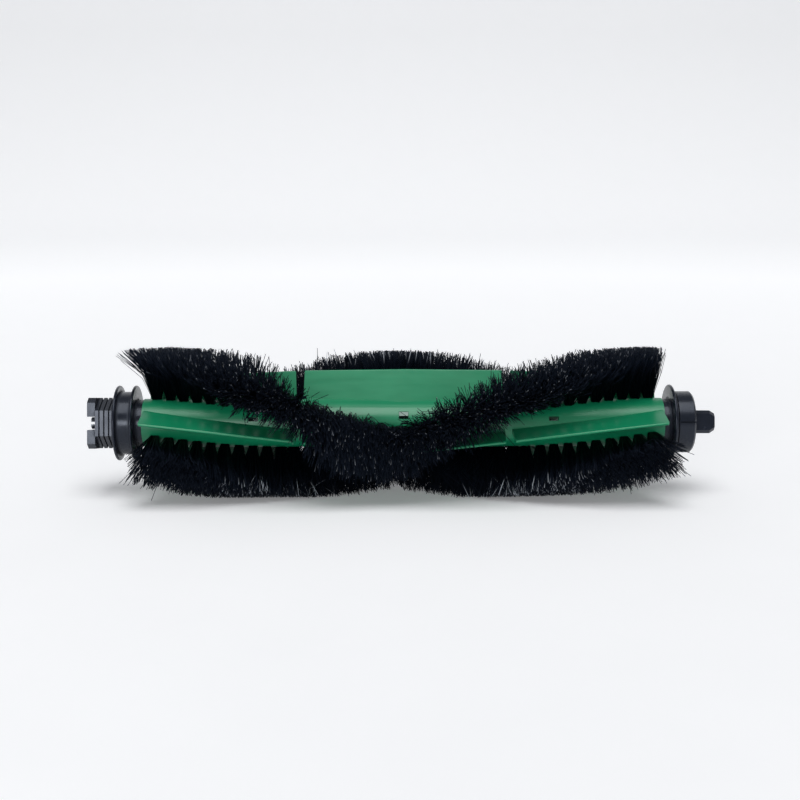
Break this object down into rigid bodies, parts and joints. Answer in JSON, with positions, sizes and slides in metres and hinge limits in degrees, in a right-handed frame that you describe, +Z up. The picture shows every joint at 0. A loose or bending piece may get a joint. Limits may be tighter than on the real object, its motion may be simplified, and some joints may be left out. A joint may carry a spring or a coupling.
{
  "type": "robot vacuum roller brush",
  "caption": "Roller brush with chevron rows of bristles and leaning fins on a moulded core, a ribbed hexagonal drive end and a free-turning bearing cap with a square peg, for a robot vacuum.",
  "frame": {"origin": "on the roller's axis, at the middle of the overall length", "axes": "+X along the axis from the drive end to the bearing end, +Y away from the front, +Z up from the surface that the bristles lie on"},
  "size_m": [0.2678, 0.0652, 0.064],
  "materials": {
    "green_moulding": "smooth moulded, satin",
    "black_moulding": "moulded, fine grain",
    "bristle_nylon": "drawn filaments, slightly glossy",
    "ground_steel": "ground",
    "plated_steel": "zinc plated",
    "sintered_bronze": "oiled, fine pores"
  },
  "bodies": {
    "roller": {"brush_core": "green_moulding", "steel_shaft": "ground_steel", "drive_cap": "black_moulding", "cap_screw": "plated_steel", "hair_guard": "black_moulding", "bristle_row_1": "bristle_nylon", "bristle_row_2": "bristle_nylon", "bristle_row_3": "bristle_nylon", "tuft_anchors_1": "plated_steel", "tuft_anchors_2": "plated_steel", "tuft_anchors_3": "plated_steel"},
    "bearing": {"bearing_cap": "black_moulding", "bearing_bush": "sintered_bronze"}
  },
  "joints": [
    {"name": "bearing_spin", "type": "hinge", "parent": "roller", "child": "bearing", "pos_m": [0.12068, 0, 0], "axis": [1, 0, 0], "continuous": true}
  ]
}
